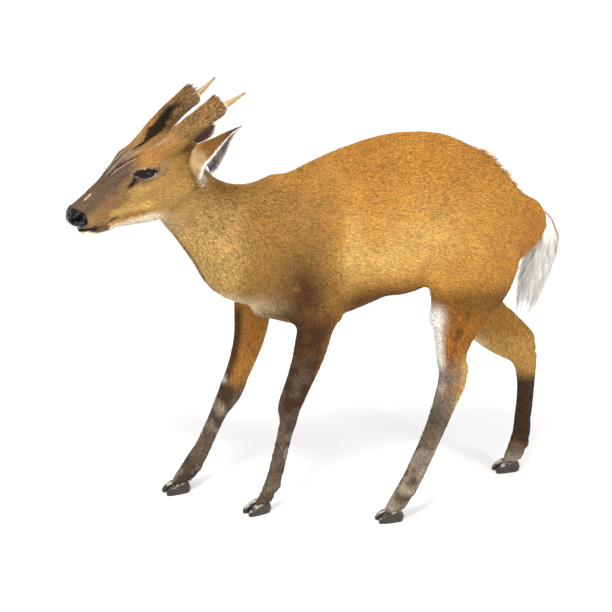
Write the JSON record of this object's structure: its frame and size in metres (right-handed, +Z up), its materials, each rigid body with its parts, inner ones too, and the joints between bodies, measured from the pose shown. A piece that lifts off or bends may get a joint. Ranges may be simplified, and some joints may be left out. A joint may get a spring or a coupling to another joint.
{
  "type": "muntjac",
  "caption": "Life-size standing male muntjac, mid-step with its head turned, with short antlers on long furred pedicels and a hanging white-haired tail.",
  "frame": {"origin": "on the floor, under the middle of the box round the whole animal", "axes": "+Z up; the nose points to -X and the tail to +X; the animal's left side faces -Y"},
  "size_m": [0.7314, 0.196, 0.6244],
  "materials": {
    "antlers": "smooth tan horn, paler at the burr",
    "ears": "thin short fur, dark grey towards the tips",
    "eyes": "wet and glossy, near black",
    "forelegs": "short dark brown fur, orange-brown on the inner side",
    "head": "short close fur, dark grey-brown on the bridge and orange on the forehead",
    "hindlegs": "short orange-brown fur, white down the inner front edge",
    "hooves": "dark horn, worn and dusty",
    "lower_legs": "very short dark grey-brown fur with dusty pale patches",
    "neck": "short fur, finely speckled olive brown",
    "nose": "moist black skin",
    "pedicels": "rough grizzled brown fur",
    "tail": "long white hair with a thin brown upper edge",
    "torso": "short glossy fur, golden orange-brown"
  },
  "bodies": {
    "root": {"antler_left": "antlers", "antler_right": "antlers", "claw_fore_left_inner": "hooves", "claw_fore_left_outer": "hooves", "claw_fore_right_inner": "hooves", "claw_fore_right_outer": "hooves", "claw_hind_left_inner": "hooves", "claw_hind_left_outer": "hooves", "claw_hind_right_inner": "hooves", "claw_hind_right_outer": "hooves", "ear_left": "ears", "ear_right": "ears", "eye_left": "eyes", "eye_right": "eyes", "foreleg_arm_left": "forelegs", "foreleg_arm_right": "forelegs", "foreleg_cannon_left": "lower_legs", "foreleg_cannon_right": "lower_legs", "head": "head", "hindleg_cannon_left": "lower_legs", "hindleg_cannon_right": "lower_legs", "hindleg_shin_left": "hindlegs", "hindleg_shin_right": "hindlegs", "hindleg_thigh_left": "hindlegs", "hindleg_thigh_right": "hindlegs", "neck": "neck", "nose": "nose", "pedicel_left": "pedicels", "pedicel_right": "pedicels", "tail": "tail", "torso": "torso"}
  },
  "joints": []
}
